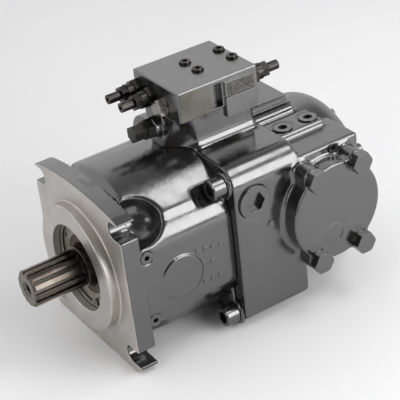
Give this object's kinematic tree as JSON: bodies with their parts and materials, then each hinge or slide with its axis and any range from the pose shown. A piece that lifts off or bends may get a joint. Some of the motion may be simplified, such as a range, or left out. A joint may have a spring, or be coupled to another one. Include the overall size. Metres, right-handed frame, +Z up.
{
  "type": "axial piston pump",
  "caption": "Swashplate axial piston pump with splined shaft, square mounting flange, blanked suction port and a control block with adjusting screws on top.",
  "frame": {"origin": "on the shaft axis, at the front face of the mounting flange", "axes": "+X from the flange to the rear, along the shaft; +Z up, towards the control block; the blanked suction port is on the -Y side"},
  "size_m": [0.435, 0.253, 0.292],
  "materials": {
    "machined_casting": "gloss black paint over cast iron, with the flange face, pilot and sides machined bare",
    "black_casting": "gloss black paint over a fine cast surface",
    "control_paint": "satin black paint over a machined block",
    "gasket": "matt",
    "painted_fasteners": "gloss black paint over steel",
    "black_fasteners": "blackened steel",
    "plated_plug": "zinc plated",
    "shaft_steel": "ground and oiled",
    "ground_steel": "ground",
    "seal_ring_steel": "turned, oiled",
    "seal_rubber": "matt",
    "bearing_bronze": "satin",
    "spring_steel": "oiled",
    "impeller_metal": "cast"
  },
  "bodies": {
    "housing": {"front_casing": "machined_casting", "rear_housing": "black_casting", "housing_gasket": "gasket", "housing_bolts": "painted_fasteners", "suction_cover": "black_casting", "cover_bolts": "painted_fasteners", "rear_cover": "black_casting", "rear_cover_screws": "painted_fasteners", "top_cover": "black_casting", "top_cover_screws": "painted_fasteners", "socket_plugs": "painted_fasteners", "large_plug": "painted_fasteners", "bearing_cups": "ground_steel", "seal_carrier": "seal_ring_steel", "shaft_seal": "seal_rubber", "snap_ring": "seal_ring_steel", "cradle_shells": "bearing_bronze", "valve_plate": "ground_steel", "control_block": "control_paint", "block_screws": "black_fasteners", "corner_plug": "plated_plug", "adjuster_sleeves": "black_fasteners", "lock_nuts": "black_fasteners", "stop_screw": "black_fasteners", "bias_spring": "spring_steel"},
    "shaft": {"drive_shaft": "shaft_steel", "cylinder_barrel": "ground_steel", "bearing_cones": "ground_steel", "bearing_rollers": "ground_steel", "retaining_ball": "ground_steel", "impeller": "impeller_metal"},
    "swash": {"swashplate": "ground_steel", "lever_pin": "ground_steel"},
    "retainer": {"retaining_plate": "ground_steel"},
    "stroking": {"servo_piston": "ground_steel"},
    "spool": {"control_spool": "ground_steel"},
    "slipper_1": {"slipper_1": "bearing_bronze"},
    "piston_1": {"piston_1": "ground_steel"},
    "slipper_2": {"slipper_2": "bearing_bronze"},
    "piston_2": {"piston_2": "ground_steel"},
    "slipper_3": {"slipper_3": "bearing_bronze"},
    "piston_3": {"piston_3": "ground_steel"},
    "slipper_4": {"slipper_4": "bearing_bronze"},
    "piston_4": {"piston_4": "ground_steel"},
    "slipper_5": {"slipper_5": "bearing_bronze"},
    "piston_5": {"piston_5": "ground_steel"},
    "slipper_6": {"slipper_6": "bearing_bronze"},
    "piston_6": {"piston_6": "ground_steel"},
    "slipper_7": {"slipper_7": "bearing_bronze"},
    "piston_7": {"piston_7": "ground_steel"},
    "slipper_8": {"slipper_8": "bearing_bronze"},
    "piston_8": {"piston_8": "ground_steel"},
    "slipper_9": {"slipper_9": "bearing_bronze"},
    "piston_9": {"piston_9": "ground_steel"},
    "spring_seat_1": {"spring_seat_1": "ground_steel"},
    "adjusting_screw_1": {"adjusting_screw_1": "black_fasteners"},
    "spring_seat_2": {"spring_seat_2": "ground_steel"},
    "adjusting_screw_2": {"adjusting_screw_2": "black_fasteners"},
    "spring_seat_3": {"spring_seat_3": "ground_steel"},
    "adjusting_screw_3": {"adjusting_screw_3": "black_fasteners"}
  },
  "joints": [
    {"name": "shaft_turn", "type": "hinge", "parent": "housing", "child": "shaft", "pos_m": [0, 0, 0], "axis": [1, 0, 0], "continuous": true},
    {"name": "swash_tilt", "type": "hinge", "parent": "housing", "child": "swash", "pos_m": [0.098, 0, 0], "axis": [0, 1, 0], "range_deg": [-15, 0], "stiffness_Nm_per_rad": 60, "springref_deg": 28.65},
    {"name": "retainer_turn", "type": "hinge", "parent": "swash", "child": "retainer", "pos_m": [0.098, 0, 0], "axis": [0.9659, 0, -0.2588], "continuous": true},
    {"name": "stroking_slide", "type": "slide", "parent": "housing", "child": "stroking", "axis": [1, 0, 0], "range_m": [-0.0226, 0], "deforming": ["bias_spring"]},
    {"name": "spool_slide", "type": "slide", "parent": "housing", "child": "spool", "axis": [1, 0, 0], "range_m": [-0.002, 0.002], "stiffness_N_per_m": 400},
    {"name": "slipper_1_turn", "type": "hinge", "parent": "retainer", "child": "slipper_1", "pos_m": [0.098, 0.047, 0], "axis": [0.9659, 0, -0.2588], "continuous": true},
    {"name": "piston_1_tilt", "type": "hinge", "parent": "slipper_1", "child": "piston_1", "pos_m": [0.098, 0.047, 0], "axis": [0, 1, 0], "range_deg": [0, 15]},
    {"name": "slipper_2_turn", "type": "hinge", "parent": "retainer", "child": "slipper_2", "pos_m": [0.10582, 0.036, 0.02918], "axis": [0.9659, 0, -0.2588], "continuous": true},
    {"name": "piston_2_tilt", "type": "hinge", "parent": "slipper_2", "child": "piston_2", "pos_m": [0.10582, 0.036, 0.02918], "axis": [0, 1, 0], "range_deg": [0, 15]},
    {"name": "slipper_3_turn", "type": "hinge", "parent": "retainer", "child": "slipper_3", "pos_m": [0.10998, 0.00816, 0.04471], "axis": [0.9659, 0, -0.2588], "continuous": true},
    {"name": "piston_3_tilt", "type": "hinge", "parent": "slipper_3", "child": "piston_3", "pos_m": [0.10998, 0.00816, 0.04471], "axis": [0, 1, 0], "range_deg": [0, 15]},
    {"name": "slipper_4_turn", "type": "hinge", "parent": "retainer", "child": "slipper_4", "pos_m": [0.10853, -0.0235, 0.03932], "axis": [0.9659, 0, -0.2588], "continuous": true},
    {"name": "piston_4_tilt", "type": "hinge", "parent": "slipper_4", "child": "piston_4", "pos_m": [0.10853, -0.0235, 0.03932], "axis": [0, 1, 0], "range_deg": [0, 15]},
    {"name": "slipper_5_turn", "type": "hinge", "parent": "retainer", "child": "slipper_5", "pos_m": [0.10216, -0.04417, 0.01553], "axis": [0.9659, 0, -0.2588], "continuous": true},
    {"name": "piston_5_tilt", "type": "hinge", "parent": "slipper_5", "child": "piston_5", "pos_m": [0.10216, -0.04417, 0.01553], "axis": [0, 1, 0], "range_deg": [0, 15]},
    {"name": "slipper_6_turn", "type": "hinge", "parent": "retainer", "child": "slipper_6", "pos_m": [0.09384, -0.04417, -0.01553], "axis": [0.9659, 0, -0.2588], "continuous": true},
    {"name": "piston_6_tilt", "type": "hinge", "parent": "slipper_6", "child": "piston_6", "pos_m": [0.09384, -0.04417, -0.01553], "axis": [0, 1, 0], "range_deg": [0, 15]},
    {"name": "slipper_7_turn", "type": "hinge", "parent": "retainer", "child": "slipper_7", "pos_m": [0.08747, -0.0235, -0.03932], "axis": [0.9659, 0, -0.2588], "continuous": true},
    {"name": "piston_7_tilt", "type": "hinge", "parent": "slipper_7", "child": "piston_7", "pos_m": [0.08747, -0.0235, -0.03932], "axis": [0, 1, 0], "range_deg": [0, 15]},
    {"name": "slipper_8_turn", "type": "hinge", "parent": "retainer", "child": "slipper_8", "pos_m": [0.08602, 0.00816, -0.04471], "axis": [0.9659, 0, -0.2588], "continuous": true},
    {"name": "piston_8_tilt", "type": "hinge", "parent": "slipper_8", "child": "piston_8", "pos_m": [0.08602, 0.00816, -0.04471], "axis": [0, 1, 0], "range_deg": [0, 15]},
    {"name": "slipper_9_turn", "type": "hinge", "parent": "retainer", "child": "slipper_9", "pos_m": [0.09018, 0.036, -0.02918], "axis": [0.9659, 0, -0.2588], "continuous": true},
    {"name": "piston_9_tilt", "type": "hinge", "parent": "slipper_9", "child": "piston_9", "pos_m": [0.09018, 0.036, -0.02918], "axis": [0, 1, 0], "range_deg": [0, 15]},
    {"name": "spring_seat_1_slide", "type": "slide", "parent": "housing", "child": "spring_seat_1", "axis": [1, 0, 0], "range_m": [-0.00151, 0.00151]},
    {"name": "adjusting_screw_1_turn", "type": "hinge", "parent": "spring_seat_1", "child": "adjusting_screw_1", "pos_m": [0.1, 0.037, 0.166], "axis": [1, 0, 0], "range_deg": [-360, 360]},
    {"name": "spring_seat_2_slide", "type": "slide", "parent": "housing", "child": "spring_seat_2", "axis": [1, 0, 0], "range_m": [-0.00151, 0.00151]},
    {"name": "adjusting_screw_2_turn", "type": "hinge", "parent": "spring_seat_2", "child": "adjusting_screw_2", "pos_m": [0.1, 0.009, 0.166], "axis": [1, 0, 0], "range_deg": [-360, 360]},
    {"name": "spring_seat_3_slide", "type": "slide", "parent": "housing", "child": "spring_seat_3", "axis": [1, 0, 0], "range_m": [-0.00151, 0.00151]},
    {"name": "adjusting_screw_3_turn", "type": "hinge", "parent": "spring_seat_3", "child": "adjusting_screw_3", "pos_m": [0.24, -0.026, 0.166], "axis": [1, 0, 0], "range_deg": [-360, 360]}
  ],
  "couplings": [
    {"joint": "retainer_turn", "follows": "shaft_turn", "ratio": 1},
    {"joint": "stroking_slide", "follows": "swash_tilt", "m_per_rad": 0.085755},
    {"joint": "slipper_1_turn", "follows": "shaft_turn", "ratio": -1},
    {"joint": "piston_1_tilt", "follows": "swash_tilt", "ratio": -1},
    {"joint": "slipper_2_turn", "follows": "shaft_turn", "ratio": -1},
    {"joint": "piston_2_tilt", "follows": "swash_tilt", "ratio": -1},
    {"joint": "slipper_3_turn", "follows": "shaft_turn", "ratio": -1},
    {"joint": "piston_3_tilt", "follows": "swash_tilt", "ratio": -1},
    {"joint": "slipper_4_turn", "follows": "shaft_turn", "ratio": -1},
    {"joint": "piston_4_tilt", "follows": "swash_tilt", "ratio": -1},
    {"joint": "slipper_5_turn", "follows": "shaft_turn", "ratio": -1},
    {"joint": "piston_5_tilt", "follows": "swash_tilt", "ratio": -1},
    {"joint": "slipper_6_turn", "follows": "shaft_turn", "ratio": -1},
    {"joint": "piston_6_tilt", "follows": "swash_tilt", "ratio": -1},
    {"joint": "slipper_7_turn", "follows": "shaft_turn", "ratio": -1},
    {"joint": "piston_7_tilt", "follows": "swash_tilt", "ratio": -1},
    {"joint": "slipper_8_turn", "follows": "shaft_turn", "ratio": -1},
    {"joint": "piston_8_tilt", "follows": "swash_tilt", "ratio": -1},
    {"joint": "slipper_9_turn", "follows": "shaft_turn", "ratio": -1},
    {"joint": "piston_9_tilt", "follows": "swash_tilt", "ratio": -1},
    {"joint": "spring_seat_1_slide", "follows": "adjusting_screw_1_turn", "m_per_rad": 0.00023873},
    {"joint": "spring_seat_2_slide", "follows": "adjusting_screw_2_turn", "m_per_rad": 0.00023873},
    {"joint": "spring_seat_3_slide", "follows": "adjusting_screw_3_turn", "m_per_rad": 0.00023873}
  ]
}
